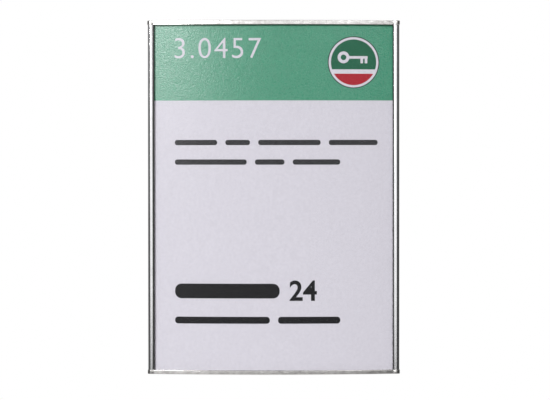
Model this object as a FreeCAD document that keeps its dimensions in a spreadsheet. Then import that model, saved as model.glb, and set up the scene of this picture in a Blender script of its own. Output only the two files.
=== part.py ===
"""Curved door sign for one A5 sheet: an extrusion with bead rails, two end plates, a paper and a clear cover.

X runs to the right and Z up, and the front faces -Y. The door is the plane Y = 0, and the origin is the
centre of the face that lies on it. All sizes are in millimetres.
"""
import FreeCAD, Part
import Sketcher
import math
import os

SIZES = {
    # the two sheets and the room around them
    "insert_width": 148.0,
    "insert_height": 210.0,
    "paper_thickness": 0.2,
    "cover_thickness": 1.0,
    "sheet_play": 0.1,
    "edge_play": 0.4,
    "end_play": 0.25,
    # the curved front wall of the extrusion
    "face_radius": 450.0,
    "edge_depth": 5.9,
    "wall_thickness": 1.6,
    # the bead rails and the legs behind them
    "rail_round": 1.95,
    "flank_round": 4.0,
    "rail_wall": 2.7,
    "lip_thickness": 1.3,
    "lip_round": 0.2,
    "leg_thickness": 1.8,
    "corner_round": 0.6,
    # the trough for the heads of the wall screws
    "trough_width": 15.0,
    "trough_wall": 1.6,
    "floor_thickness": 2.0,
    "wall_hole": 4.5,
    "wall_hole_inset": 30.25,
    # the ports in which the end plate screws cut their thread
    "port_inset": 21.5,
    "port_diameter": 5.6,
    "port_bore": 2.4,
    "port_slot": 1.2,
    # the end plates
    "plate_thickness": 2.6,
    "plate_overhang": 0.3,
    "plate_proud": 1.2,
    "plate_setback": 0.3,
    "plate_round": 0.3,
    "shoulder_round": 1.0,
    "plate_hole": 3.2,
    # the end plate screws
    "head_diameter": 5.5,
    "head_rim": 0.2,
    "head_sink": 0.15,
    "head_fit": 0.1,
    "core_fit": 0.1,
    "screw_length": 13.0,
    "point_length": 1.5,
}

# places that several pieces share, as formulas of the sizes
GROOVE_ANGLE = "((dim.insert_width / 2 + dim.edge_play) / dim.face_radius * 1 rad)"
GROOVE_X = f"(dim.face_radius * sin({GROOVE_ANGLE}))"
CURVE_CENTRE = f"(dim.face_radius * cos({GROOVE_ANGLE}) - dim.edge_depth)"
WALL_BACK_RADIUS = "(dim.face_radius - dim.wall_thickness)"
PAPER_BACK_RADIUS = "(dim.face_radius + dim.sheet_play)"
COVER_BACK_RADIUS = f"({PAPER_BACK_RADIUS} + dim.paper_thickness + dim.sheet_play)"
COVER_FRONT_RADIUS = f"({COVER_BACK_RADIUS} + dim.cover_thickness)"
LIP_RADIUS = f"({COVER_FRONT_RADIUS} + dim.sheet_play)"
BEAD_DISTANCE = f"({LIP_RADIUS} + dim.lip_thickness - dim.rail_round)"
SIDE_X = f"({GROOVE_X} + dim.rail_wall)"
BEAD_X = f"({SIDE_X} - dim.rail_round)"
FLANK_STEP = "(dim.flank_round - dim.rail_round)"
PROFILE_LENGTH = "(dim.insert_height + 2 * dim.end_play)"
WALL_HOLE_Z = f"({PROFILE_LENGTH} / 2 - dim.wall_hole_inset)"
PORT_X = f"({SIDE_X} - dim.port_inset)"
PORT_DISTANCE = f"({WALL_BACK_RADIUS} - dim.port_diameter / 2)"
PORT_Y = f"({CURVE_CENTRE} - sqrt({PORT_DISTANCE} ^ 2 - {PORT_X} ^ 2))"
PLATE_RADIUS = f"({COVER_FRONT_RADIUS} + dim.plate_proud)"
BUMP_RADIUS = "(dim.rail_round + dim.plate_overhang)"
BUMP_FLANK_RADIUS = "(dim.flank_round + dim.plate_overhang)"
PLATE_TOP = f"({PROFILE_LENGTH} / 2 + dim.plate_thickness)"
CORE_RADIUS = "((dim.port_bore - dim.core_fit) / 2)"

START, END, CENTRE = 1, 2, 3
ORIGIN = (-1, 1)
X_LINE, Y_LINE = -1, -2
UPSIDE_DOWN = FreeCAD.Placement(FreeCAD.Vector(0, 0, 0), FreeCAD.Rotation(FreeCAD.Vector(0, 1, 0), 180))

doc = FreeCAD.newDocument("door_sign")
dim = doc.addObject("Spreadsheet::Sheet", "dim")
for row, (alias, value) in enumerate(SIZES.items(), 1):
    dim.set(f"A{row}", alias)
    dim.set(f"B{row}", str(value))
    dim.setAlias(f"B{row}", alias)
doc.recompute()


def worth(formula):
    """The number that a formula of the sizes comes to."""
    return float(dim.evalExpression(formula))


def plane_of(body, role):
    return next(item for item in body.Origin.OriginFeatures if item.Role == role)


class Outline:
    """A sketch of joined lines and arcs, known by name, whose dimensions follow the spreadsheet."""

    def __init__(self, body, name, plane, height=None):
        self.sketch = body.newObject("Sketcher::SketchObject", name)
        self.sketch.AttachmentSupport = [(plane_of(body, plane), "")]
        self.sketch.MapMode = "FlatFace"
        if height:
            self.sketch.setExpression("AttachmentOffset.Base.z", height)
        self.edges = {}
        self.first = {}
        self.last = {}
        self.order = []

    def add(self, name, geometry, backwards=False):
        self.edges[name] = self.sketch.addGeometry(geometry)
        self.first[name] = (self.edges[name], END if backwards else START)
        self.last[name] = (self.edges[name], START if backwards else END)
        self.order.append(name)

    def line(self, name, a, b):
        self.add(name, Part.LineSegment(FreeCAD.Vector(*a), FreeCAD.Vector(*b)))

    def arc(self, name, centre, a, b, clockwise=False):
        """An arc from a to b. A sketch keeps arcs counter-clockwise, so a clockwise one is turned round."""
        start, end = (b, a) if clockwise else (a, b)
        angles = [math.atan2(p[1] - centre[1], p[0] - centre[0]) for p in (start, end)]
        circle = Part.Circle(FreeCAD.Vector(*centre), FreeCAD.Vector(0, 0, 1), math.dist(centre, a))
        self.add(name, Part.ArcOfCircle(circle, *angles), clockwise)

    def circle(self, name, centre, radius):
        self.add(name, Part.Circle(FreeCAD.Vector(*centre), FreeCAD.Vector(0, 0, 1), radius))

    def centre(self, name):
        return (self.edges[name], CENTRE)

    def join(self, smooth=()):
        """Joins each edge to the next and the last to the first; those in smooth leave at a tangent."""
        for name, following in zip(self.order, self.order[1:] + self.order[:1]):
            kind = "Tangent" if name in smooth else "Coincident"
            self.tie(kind, *self.last[name], *self.first[following])

    def tie(self, *constraint):
        return self.sketch.addConstraint(Sketcher.Constraint(*constraint))

    def level(self, *names):
        for name in names:
            self.tie("Horizontal", self.edges[name])

    def upright(self, *names):
        for name in names:
            self.tie("Vertical", self.edges[name])

    def measure(self, kind, *places, formula):
        """A dimension that follows the formula."""
        index = self.tie(kind, *places, worth(formula))
        self.sketch.setExpression(f"Constraints[{index}]", formula)

    def radius(self, name, formula):
        self.measure("Radius", self.edges[name], formula=formula)


def add_feature(body, kind, name, profile=None, **values):
    """Adds a PartDesign feature; a value that is text starting with = is bound as a formula."""
    feature = body.newObject(f"PartDesign::{kind}", name)
    if profile:
        feature.Profile = profile
    for prop, value in values.items():
        if isinstance(value, str) and value.startswith("="):
            feature.setExpression(prop, value[1:])
        else:
            setattr(feature, prop, value)
    return feature


def add_mirrored(body, name, originals):
    """Copies features across the middle plane of the sign."""
    mirrored = body.newObject("PartDesign::Mirrored", name)
    mirrored.Originals = originals
    mirrored.MirrorPlane = (plane_of(body, "YZ_Plane"), [""])
    body.Tip = mirrored
    doc.recompute()
    return mirrored


def add_fillet(body, name, base, wanted, formula):
    """Rounds those edges of a feature for which wanted(edge) holds."""
    doc.recompute()
    names = [f"Edge{i}" for i, edge in enumerate(base.Shape.Edges, 1) if wanted(edge)]
    fillet = body.newObject("PartDesign::Fillet", name)
    fillet.Base = (base, names)
    fillet.setExpression("Radius", formula)
    doc.recompute()
    return fillet


def new_body(label):
    body = doc.addObject("PartDesign::Body", label)
    body.Label = label
    return body


def depth_at(x, radius):
    """Y of a circle about the centre of curvature, at x."""
    return worth(CURVE_CENTRE) - math.sqrt(radius ** 2 - x ** 2)


def bead_centre():
    """Centre of the round on the outer side of a rail."""
    return (worth(BEAD_X), depth_at(worth(BEAD_X), worth(BEAD_DISTANCE)))


def flank_centre():
    """Centre of the flatter round on the inner side of a rail, straight behind that of the outer round."""
    x, y = bead_centre()
    return (x, y + worth(FLANK_STEP))


def crossing(radius, round_radius):
    """Where a circle about the centre of curvature meets the inner side of a round on the flank's centre."""
    x, y = flank_centre()
    distance = math.hypot(x, worth(CURVE_CENTRE) - y)
    spread = (distance ** 2 + radius ** 2 - round_radius ** 2) / (2 * distance * radius)
    angle = math.asin(x / distance) - math.acos(spread)
    return (radius * math.sin(angle), worth(CURVE_CENTRE) - radius * math.cos(angle))


def draw_section(body):
    """The right half of the extrusion's section, on the XY plane."""
    middle = (0, worth(CURVE_CENTRE))
    bed_radius = worth("dim.face_radius")
    back_radius = worth(WALL_BACK_RADIUS)
    lip_radius = worth(LIP_RADIUS)
    floor_y = -worth("dim.floor_thickness")
    trough_in = worth("dim.trough_width / 2")
    trough_out = trough_in + worth("dim.trough_wall")
    groove_x, side_x = worth(GROOVE_X), worth(SIDE_X)
    groove_angle = math.asin(groove_x / bed_radius)
    leg_x = side_x - worth("dim.leg_thickness")
    bead, flank = bead_centre(), flank_centre()
    crown = (bead[0], bead[1] - worth("dim.rail_round"))
    port = (worth(PORT_X), worth(PORT_Y))
    port_r = worth("dim.port_diameter / 2")
    bore_r = worth("dim.port_bore / 2")
    slot = worth("dim.port_slot / 2")
    rim_y = port[1] + math.sqrt(port_r ** 2 - slot ** 2)
    bore_y = port[1] + math.sqrt(bore_r ** 2 - slot ** 2)

    trough_foot = (trough_in, floor_y)
    trough_top = (trough_in, depth_at(trough_in, bed_radius))
    groove_back = (groove_x, depth_at(groove_x, bed_radius))
    groove_front = (lip_radius * math.sin(groove_angle), middle[1] - lip_radius * math.cos(groove_angle))
    lip_tip = crossing(lip_radius, worth("dim.flank_round"))
    leg_top = (leg_x, depth_at(leg_x, back_radius))
    port_right_top = (port[0] + port_r, depth_at(port[0] + port_r, back_radius))
    port_left_top = (port[0] - port_r, depth_at(port[0] - port_r, back_radius))
    wall_end = (trough_out, depth_at(trough_out, back_radius))

    out = Outline(body, "section", "XY_Plane")
    out.line("floor", (0, floor_y), trough_foot)
    out.line("trough side", trough_foot, trough_top)
    out.arc("bed", middle, trough_top, groove_back)
    out.line("groove end", groove_back, groove_front)
    out.arc("lip", middle, groove_front, lip_tip, clockwise=True)
    out.arc("flank", flank, lip_tip, crown)
    out.arc("bead", bead, crown, (side_x, bead[1]))
    out.line("side", (side_x, bead[1]), (side_x, 0))
    out.line("foot", (side_x, 0), (leg_x, 0))
    out.line("leg", (leg_x, 0), leg_top)
    out.arc("outer back", middle, leg_top, port_right_top, clockwise=True)
    out.line("port right", port_right_top, (port[0] + port_r, port[1]))
    out.arc("port rim right", port, (port[0] + port_r, port[1]), (port[0] + slot, rim_y))
    out.line("slot right", (port[0] + slot, rim_y), (port[0] + slot, bore_y))
    out.arc("bore", port, (port[0] + slot, bore_y), (port[0] - slot, bore_y), clockwise=True)
    out.line("slot left", (port[0] - slot, bore_y), (port[0] - slot, rim_y))
    out.arc("port rim left", port, (port[0] - slot, rim_y), (port[0] - port_r, port[1]))
    out.line("port left", (port[0] - port_r, port[1]), port_left_top)
    out.arc("inner back", middle, port_left_top, wall_end, clockwise=True)
    out.line("trough back", wall_end, (trough_out, 0))
    out.line("seat", (trough_out, 0), (0, 0))
    out.line("middle", (0, 0), (0, floor_y))

    out.join(smooth=("flank", "bead", "port right", "port rim left"))
    out.level("floor", "foot", "seat")
    out.upright("trough side", "side", "leg", "port right", "slot right", "slot left", "port left")
    out.upright("trough back", "middle")
    out.tie("Coincident", *out.last["seat"], *ORIGIN)
    out.tie("PointOnObject", *out.last["side"], X_LINE)
    out.measure("DistanceY", *out.last["middle"], *ORIGIN, formula="dim.floor_thickness")
    out.measure("DistanceX", *out.first["floor"], *out.last["floor"], formula="dim.trough_width / 2")
    out.measure("DistanceX", *out.last["floor"], *out.first["seat"], formula="dim.trough_wall")

    out.tie("PointOnObject", *out.centre("bed"), Y_LINE)
    out.measure("DistanceY", *ORIGIN, *out.centre("bed"), formula=CURVE_CENTRE)
    for name in ("lip", "outer back", "inner back"):
        out.tie("Coincident", *out.centre(name), *out.centre("bed"))
    out.radius("bed", "dim.face_radius")
    out.radius("lip", LIP_RADIUS)
    out.radius("outer back", WALL_BACK_RADIUS)
    out.tie("Equal", out.edges["outer back"], out.edges["inner back"])

    out.tie("PointOnObject", *out.centre("bed"), out.edges["groove end"])
    out.measure("DistanceX", *ORIGIN, *out.first["groove end"], formula=GROOVE_X)
    out.measure("DistanceX", *out.first["groove end"], *out.last["side"], formula="dim.rail_wall")
    out.radius("bead", "dim.rail_round")
    out.radius("flank", "dim.flank_round")
    out.tie("Vertical", *out.centre("flank"), *out.centre("bead"))
    out.measure("Distance", *out.centre("bead"), *out.centre("bed"), formula=BEAD_DISTANCE)
    out.measure("DistanceX", *out.last["foot"], *out.first["foot"], formula="dim.leg_thickness")

    for name in ("port rim right", "port rim left"):
        out.tie("Coincident", *out.centre(name), *out.centre("bore"))
    out.measure("DistanceX", *ORIGIN, *out.centre("bore"), formula=PORT_X)
    out.measure("Distance", *out.centre("bore"), *out.centre("bed"), formula=PORT_DISTANCE)
    out.radius("bore", "dim.port_bore / 2")
    out.radius("port rim right", "dim.port_diameter / 2")
    out.tie("Equal", out.edges["port rim right"], out.edges["port rim left"])
    out.measure("DistanceX", *out.centre("bore"), *out.first["slot right"], formula="dim.port_slot / 2")
    out.measure("DistanceX", *out.last["slot left"], *out.centre("bore"), formula="dim.port_slot / 2")
    return out.sketch


def upright_edges_at(corners):
    """A test for upright edges that stand at one of these corners, on either side of the middle."""

    def wanted(edge):
        top, foot = edge.Vertexes[0].Point, edge.Vertexes[-1].Point
        if math.dist((top.x, top.y), (foot.x, foot.y)) > 0.01 or top.z == foot.z:
            return False
        return any(math.dist((abs(top.x), top.y), corner) < 0.01 for corner in corners)

    return wanted


def inner_corners():
    """Where the trough and the legs meet the curved wall."""
    trough_in = worth("dim.trough_width / 2")
    trough_out = trough_in + worth("dim.trough_wall")
    leg_x = worth(SIDE_X) - worth("dim.leg_thickness")
    back_radius = worth(WALL_BACK_RADIUS)
    return [
        (trough_in, -worth("dim.floor_thickness")),
        (trough_in, depth_at(trough_in, worth("dim.face_radius"))),
        (trough_out, depth_at(trough_out, back_radius)),
        (leg_x, depth_at(leg_x, back_radius)),
    ]


def make_base_profile():
    """The extrusion: bed, bead rails with grooves, legs, screw trough and screw ports in one section."""
    body = new_body("base_profile")
    section = draw_section(body)
    pad = add_feature(body, "Pad", "extrusion", section, SideType="Symmetric", Length="=" + PROFILE_LENGTH)
    whole = add_mirrored(body, "both_halves", [pad])
    rounded = add_fillet(body, "corner_rounds", whole, upright_edges_at(inner_corners()), "dim.corner_round")
    lip_tip = crossing(worth(LIP_RADIUS), worth("dim.flank_round"))
    add_fillet(body, "lip_rounds", rounded, upright_edges_at([lip_tip]), "dim.lip_round")

    holes = Outline(body, "wall_holes", "XZ_Plane")
    for name, side in (("upper", 1), ("lower", -1)):
        holes.circle(name, (0, side * worth(WALL_HOLE_Z)), worth("dim.wall_hole / 2"))
        holes.tie("PointOnObject", *holes.centre(name), Y_LINE)
        holes.measure("Diameter", holes.edges[name], formula="dim.wall_hole")
    holes.measure("DistanceY", *ORIGIN, *holes.centre("upper"), formula=WALL_HOLE_Z)
    holes.measure("DistanceY", *holes.centre("lower"), *ORIGIN, formula=WALL_HOLE_Z)
    add_feature(body, "Pocket", "wall_hole_cut", holes.sketch, Type="ThroughAll", SideType="Symmetric")
    return body


def draw_plate(body):
    """The right half of an end plate, on the upper end of the extrusion."""
    middle = (0, worth(CURVE_CENTRE))
    bead, flank = bead_centre(), flank_centre()
    crown = (bead[0], bead[1] - worth(BUMP_RADIUS))
    side_x = bead[0] + worth(BUMP_RADIUS)
    back_y = -worth("dim.plate_setback")
    front_radius = worth(PLATE_RADIUS)
    shoulder = crossing(front_radius, worth(BUMP_FLANK_RADIUS))
    top = (0, middle[1] - front_radius)

    out = Outline(body, "plate_outline", "XY_Plane", f"{PROFILE_LENGTH} / 2")
    out.line("back", (0, back_y), (side_x, back_y))
    out.line("side", (side_x, back_y), (side_x, bead[1]))
    out.arc("bump", bead, (side_x, bead[1]), crown, clockwise=True)
    out.arc("bump flank", flank, crown, shoulder, clockwise=True)
    out.arc("front", middle, shoulder, top, clockwise=True)
    out.line("middle", top, (0, back_y))
    out.join(smooth=("side", "bump"))
    out.level("back")
    out.upright("side", "middle")
    out.tie("PointOnObject", *out.first["back"], Y_LINE)
    out.measure("DistanceY", *out.first["back"], *ORIGIN, formula="dim.plate_setback")
    out.tie("PointOnObject", *out.centre("front"), Y_LINE)
    out.measure("DistanceY", *ORIGIN, *out.centre("front"), formula=CURVE_CENTRE)
    out.radius("front", PLATE_RADIUS)
    out.measure("DistanceX", *ORIGIN, *out.centre("bump"), formula=BEAD_X)
    out.measure("Distance", *out.centre("bump"), *out.centre("front"), formula=BEAD_DISTANCE)
    out.radius("bump", BUMP_RADIUS)
    out.radius("bump flank", BUMP_FLANK_RADIUS)
    out.tie("Vertical", *out.centre("bump flank"), *out.centre("bump"))
    return out.sketch


def is_front_edge(edge):
    """True for the edges along the curved front of an end plate."""
    ends = [v.Point for v in edge.Vertexes]
    flat = abs(ends[0].z - ends[-1].z) < 0.001
    curved = hasattr(edge.Curve, "Radius")
    return flat and curved and all(p.y < bead_centre()[1] + 0.001 for p in ends)


def make_end_plate(label):
    """A plate that follows the outline of the extrusion, with countersunk holes over the screw ports."""
    body = new_body(label)
    outline = draw_plate(body)
    pad = add_feature(body, "Pad", "plate", outline, Length="=dim.plate_thickness")
    whole = add_mirrored(body, "both_halves", [pad])
    shoulder = crossing(worth(PLATE_RADIUS), worth(BUMP_FLANK_RADIUS))
    blended = add_fillet(body, "shoulders", whole, upright_edges_at([shoulder]), "dim.shoulder_round")
    add_fillet(body, "front_edges", blended, is_front_edge, "dim.plate_round")

    holes = Outline(body, "screw_holes", "XY_Plane", PLATE_TOP)
    for name, side in (("right", 1), ("left", -1)):
        holes.circle(name, (side * worth(PORT_X), worth(PORT_Y)), worth("dim.plate_hole / 2"))
        holes.measure("Diameter", holes.edges[name], formula="dim.plate_hole")
        holes.measure("DistanceY", *holes.centre(name), *ORIGIN, formula="-" + PORT_Y)
    holes.measure("DistanceX", *ORIGIN, *holes.centre("right"), formula=PORT_X)
    holes.measure("DistanceX", *holes.centre("left"), *ORIGIN, formula=PORT_X)
    doc.recompute()
    add_feature(
        body, "Hole", "countersunk_holes", holes.sketch,
        ThreadType="None", DepthType="ThroughAll", HoleCutType="Countersink", HoleCutCustomValues=True,
        Diameter="=dim.plate_hole", HoleCutCountersinkAngle=90,
        HoleCutDiameter="=dim.head_diameter + 2 * (dim.head_rim + dim.head_sink) + dim.head_fit",
    )
    return body


def make_screw(label, side, end):
    """A countersunk screw with a cross recess, in the port on that side and end; its thread is left plain."""
    body = new_body(label)
    head_r, core_r = worth("dim.head_diameter / 2"), worth(CORE_RADIUS)
    cone_top = -worth("dim.head_rim")
    cone_foot = cone_top - (head_r - core_r)
    end_z = -worth("dim.screw_length")
    point_z = end_z + worth("dim.point_length")

    out = Outline(body, "screw_section", "XZ_Plane")
    out.line("head", (0, 0), (head_r, 0))
    out.line("rim", (head_r, 0), (head_r, cone_top))
    out.line("cone", (head_r, cone_top), (core_r, cone_foot))
    out.line("core", (core_r, cone_foot), (core_r, point_z))
    out.line("point", (core_r, point_z), (0, end_z))
    out.line("axis", (0, end_z), (0, 0))
    out.join()
    out.level("head")
    out.upright("rim", "core", "axis")
    out.tie("Coincident", *out.first["head"], *ORIGIN)
    out.measure("DistanceX", *ORIGIN, *out.last["head"], formula="dim.head_diameter / 2")
    out.measure("DistanceY", *out.last["rim"], *out.first["rim"], formula="dim.head_rim")
    out.measure("DistanceX", *ORIGIN, *out.first["core"], formula=CORE_RADIUS)
    cone_height = f"dim.head_diameter / 2 - {CORE_RADIUS}"
    out.measure("DistanceY", *out.last["cone"], *out.first["cone"], formula=cone_height)
    out.measure("DistanceY", *out.first["axis"], *ORIGIN, formula="dim.screw_length")
    out.measure("DistanceY", *out.first["axis"], *out.last["core"], formula="dim.point_length")
    turning_axis = (out.sketch, ["V_Axis"])
    add_feature(body, "Revolution", "turned_screw", out.sketch, ReferenceAxis=turning_axis, Angle=360)

    across, along = "dim.head_diameter / 7", "dim.head_diameter / 2"
    for name, width, height in (("slot_across", along, across), ("slot_along", across, along)):
        slot = draw_rectangle(body, name, width, height)
        doc.recompute()
        add_feature(body, "Pocket", name + "_cut", slot, Length="=dim.head_diameter / 6")
    if end < 0:
        body.Placement = UPSIDE_DOWN
    body.setExpression("Placement.Base.x", f"{side} * {PORT_X}")
    body.setExpression("Placement.Base.y", PORT_Y)
    body.setExpression("Placement.Base.z", f"{end} * ({PLATE_TOP} - dim.head_sink)")
    doc.recompute()
    return body


def draw_rectangle(body, name, width, height):
    """A rectangle about the origin of the XY plane."""
    x, y = worth(width) / 2, worth(height) / 2
    corners = [(-x, -y), (x, -y), (x, y), (-x, y)]
    out = Outline(body, name, "XY_Plane")
    for number, corner in enumerate(corners):
        out.line(number, corner, corners[(number + 1) % 4])
    out.join()
    out.level(0, 2)
    out.upright(1, 3)
    out.tie("Symmetric", *out.first[0], *out.first[2], *ORIGIN)
    out.measure("DistanceX", *out.first[0], *out.last[0], formula=width)
    out.measure("DistanceY", *out.first[1], *out.last[1], formula=height)
    return out.sketch


def make_sheet(label, inner_radius, thickness):
    """A sheet bent to the bed's curve, turned about the upright axis of the curve."""
    body = new_body(label)
    back = worth(CURVE_CENTRE) - worth(inner_radius)
    front = back - worth(thickness)
    half = worth("dim.insert_height / 2")

    out = Outline(body, label + "_section", "YZ_Plane")
    out.line("bottom", (front, -half), (back, -half))
    out.line("back", (back, -half), (back, half))
    out.line("top", (back, half), (front, half))
    out.line("front", (front, half), (front, -half))
    out.join()
    out.level("bottom", "top")
    out.upright("front")
    out.tie("Symmetric", *out.first["back"], *out.last["back"], X_LINE)
    out.measure("DistanceY", *out.first["back"], *out.last["back"], formula="dim.insert_height")
    out.measure("DistanceX", *out.first["bottom"], *out.last["bottom"], formula=thickness)
    out.measure("DistanceX", *out.last["bottom"], *ORIGIN, formula=f"{inner_radius} - {CURVE_CENTRE}")
    axis_ends = [FreeCAD.Vector(worth(CURVE_CENTRE), z) for z in (-half, half)]
    axis = out.sketch.addGeometry(Part.LineSegment(*axis_ends), True)
    out.tie("Symmetric", axis, START, axis, END, X_LINE)
    out.measure("DistanceY", axis, START, axis, END, formula="dim.insert_height")
    out.measure("DistanceX", *ORIGIN, axis, START, formula=CURVE_CENTRE)
    add_feature(
        body, "Revolution", label + "_bend", out.sketch,
        ReferenceAxis=(out.sketch, ["Axis0"]), Midplane=True,
        Angle="=dim.insert_width / dim.face_radius * 180 / pi",
    )
    doc.recompute()
    return body


base_profile = make_base_profile()
top_end_plate = make_end_plate("top_end_plate")
bottom_end_plate = make_end_plate("bottom_end_plate")
bottom_end_plate.Placement = UPSIDE_DOWN
end_plate_screws = doc.addObject("Part::Compound", "end_plate_screws")
end_plate_screws.Label = "end_plate_screws"
end_plate_screws.Links = [
    make_screw(f"{height}_{hand}_screw", side, end)
    for height, end in (("upper", 1), ("lower", -1))
    for hand, side in (("right", 1), ("left", -1))
]
paper_insert = make_sheet("paper_insert", PAPER_BACK_RADIUS, "dim.paper_thickness")
clear_cover = make_sheet("clear_cover", COVER_BACK_RADIUS, "dim.cover_thickness")
doc.recompute()

for item in doc.Objects:
    if "Invalid" in item.State or "Error" in item.State:
        raise RuntimeError(f"{item.Label} is {item.State}")

os.makedirs("parts", exist_ok=True)
for piece in (base_profile, top_end_plate, bottom_end_plate, end_plate_screws, paper_insert, clear_cover):
    if piece.Shape.isNull() or not piece.Shape.isValid():
        raise RuntimeError(f"{piece.Label} has no valid shape")
    piece.Shape.exportStep(f"parts/{piece.Label}.step")
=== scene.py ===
"""Looks of a curved door sign.

The sign is an extrusion with bead rails, two end plates with their screws, a printed paper and a matte clear
cover. X runs to the right and Z up, and the front faces -Y. Sizes are named in millimetres where no comment
says otherwise, angles in degrees, and meshes are in metres.
"""

import bmesh
import bpy
import math
from mathutils import Matrix, Vector


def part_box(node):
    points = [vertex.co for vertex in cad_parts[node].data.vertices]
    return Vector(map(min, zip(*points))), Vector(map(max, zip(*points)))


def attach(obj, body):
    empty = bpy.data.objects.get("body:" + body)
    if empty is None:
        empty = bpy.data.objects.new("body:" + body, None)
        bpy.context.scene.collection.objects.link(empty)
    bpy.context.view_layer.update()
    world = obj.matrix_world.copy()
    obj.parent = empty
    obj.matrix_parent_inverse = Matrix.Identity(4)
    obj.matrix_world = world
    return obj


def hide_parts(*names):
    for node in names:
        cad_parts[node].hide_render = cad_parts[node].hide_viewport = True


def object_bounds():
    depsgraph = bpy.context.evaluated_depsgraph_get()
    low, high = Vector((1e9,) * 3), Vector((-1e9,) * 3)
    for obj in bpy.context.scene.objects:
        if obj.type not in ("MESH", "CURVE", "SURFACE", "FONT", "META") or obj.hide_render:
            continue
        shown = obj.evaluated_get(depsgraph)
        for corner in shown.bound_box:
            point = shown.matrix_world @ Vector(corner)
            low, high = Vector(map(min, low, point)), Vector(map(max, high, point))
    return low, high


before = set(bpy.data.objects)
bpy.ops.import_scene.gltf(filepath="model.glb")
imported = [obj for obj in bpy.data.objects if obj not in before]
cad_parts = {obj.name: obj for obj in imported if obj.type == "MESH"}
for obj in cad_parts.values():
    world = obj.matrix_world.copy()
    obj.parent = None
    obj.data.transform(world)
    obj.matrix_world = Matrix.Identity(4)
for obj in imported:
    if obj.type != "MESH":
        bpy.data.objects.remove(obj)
cad_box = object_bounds()

MM = 0.001
BODY = "root"

# the curved wall and the two sheets flexed onto it; a layer lies between two heights above the wall
FACE_RADIUS = 450.0
WALL_THICKNESS = 1.6
SHEET_WIDTH = 148.0
SHEET_HEIGHT = 210.0
PAPER_LAYER = (0.1, 0.3)
COVER_LAYER = (0.4, 1.4)
SHEET_COLUMNS = 96
EDGE_PLAY = 0.4
EDGE_DEPTH = 5.9
END_REACH = 0.2

# the bead rails and the legs behind them; the arc of a flank starts LIP_TURN from the lip's tip
RAIL_ROUND = 1.95
FLANK_ROUND = 4.0
RAIL_WALL = 2.7
LIP_GAP = 1.5
LIP_THICKNESS = 1.3
LIP_ROUND = 0.2
LIP_TURN = 8
LEG_THICKNESS = 1.8
CORNER_ROUND = 0.6
EDGE_BREAK = 0.25

# the trough for the wall screws and the ports for the end plate screws
TROUGH_WIDTH = 15.0
TROUGH_WALL = 1.6
FLOOR_THICKNESS = 2.0
WALL_HOLE = 4.5
WALL_HOLE_SPACING = 150.0
PORT_INSET = 21.5
PORT_DIAMETER = 5.6
PORT_BORE = 2.4
PORT_SLOT = 1.2

# the end plates; a drill reaches past a plate, and edges nearer to the back than a margin stay sharp
PLATE_OVERHANG = 0.3
PLATE_PROUD = 1.2
PLATE_ROUND = 0.3
PLATE_HOLE = 3.2
COUNTERSINK = 6.3
SHOULDER_ROUND = 1.0
DRILL_REACH = 1.0
BACK_MARGIN = 0.1

# the end plate screws; the point bulges at a share of its length to a share of the core's radius
HEAD_DIAMETER = 5.5
HEAD_RIM = 0.2
HEAD_BREAK = 0.1
HEAD_SINK = 0.15
HEAD_TURN = 20
CORE_DIAMETER = 2.3
THREAD_DIAMETER = 2.8
THREAD_PITCH = 1.1
CREST_STEEPNESS = 3.2
SCREW_LENGTH = 13.0
SCREW_SIDES = 28
ROWS_PER_TURN = 8
POINT_LENGTH = 1.5
POINT_BULGE = 0.6
POINT_BULGE_PLACE = 0.4
POINT_RADIUS = 0.05

# the cross recess in a screw head: its size at the top, and the shares of it above the head and at the foot
RECESS_SPAN = 2.75
RECESS_WIDTH = 0.8
RECESS_DEPTH = 0.9
RECESS_MOUTH_SHARE = 1.2
RECESS_FOOT_SHARE = 0.45

# places that several pieces share
profile_low, profile_high = (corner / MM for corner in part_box("base_profile"))
plate_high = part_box("top_end_plate")[1] / MM
PROFILE_LENGTH = profile_high.z - profile_low.z
PLATE_FOOT = profile_high.z
PLATE_TOP = plate_high.z
PLATE_BACK = plate_high.y
GROOVE_ANGLE = (SHEET_WIDTH / 2 + EDGE_PLAY) / FACE_RADIUS
GROOVE_X = FACE_RADIUS * math.sin(GROOVE_ANGLE)
CURVE_CENTRE = FACE_RADIUS * math.cos(GROOVE_ANGLE) - EDGE_DEPTH
WALL_BACK_RADIUS = FACE_RADIUS - WALL_THICKNESS
LIP_RADIUS = FACE_RADIUS + LIP_GAP
BEAD_DISTANCE = LIP_RADIUS + LIP_THICKNESS - RAIL_ROUND
PLATE_RADIUS = FACE_RADIUS + COVER_LAYER[1] + PLATE_PROUD
BUMP_RADIUS = RAIL_ROUND + PLATE_OVERHANG
BUMP_FLANK_RADIUS = FLANK_ROUND + PLATE_OVERHANG
SIDE_X = GROOVE_X + RAIL_WALL
BEAD_X = SIDE_X - RAIL_ROUND
BEAD_Y = CURVE_CENTRE - math.sqrt(BEAD_DISTANCE ** 2 - BEAD_X ** 2)
FLANK_Y = BEAD_Y + FLANK_ROUND - RAIL_ROUND
PORT_X = SIDE_X - PORT_INSET
PORT_Y = CURVE_CENTRE - math.sqrt((WALL_BACK_RADIUS - PORT_DIAMETER / 2) ** 2 - PORT_X ** 2)
SHEET_TOP = SHEET_HEIGHT / 2 + END_REACH

# the print on the paper, measured from the middle of the sheet; ink is cut into strips so that it can bend
BAND_FOOT = 59.1
# the next height is that of a painted shadow: a dark strip along the sheet's top, under the top plate
PLATE_SHADOW_HEIGHT = 0.9
MARGIN = -60.4
INK_STEP = 0.012
INK_STRIP = 3.0

# the numerals; boldness is in units of the letter's size, and spacing is a factor on the letters' steps
NUMBER_TEXT = "3.0457"
NUMBER_FOOT, NUMBER_TOP = 84.8, 97.2
NUMBER_BOLDNESS = -0.007
NUMBER_SPACING = 1.12
TITLE_TEXT = "24"
TITLE_LEFT = MARGIN + 70
TITLE_FOOT, TITLE_TOP = -63.0, -50.5
TITLE_BOLDNESS = 0.02

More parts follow.
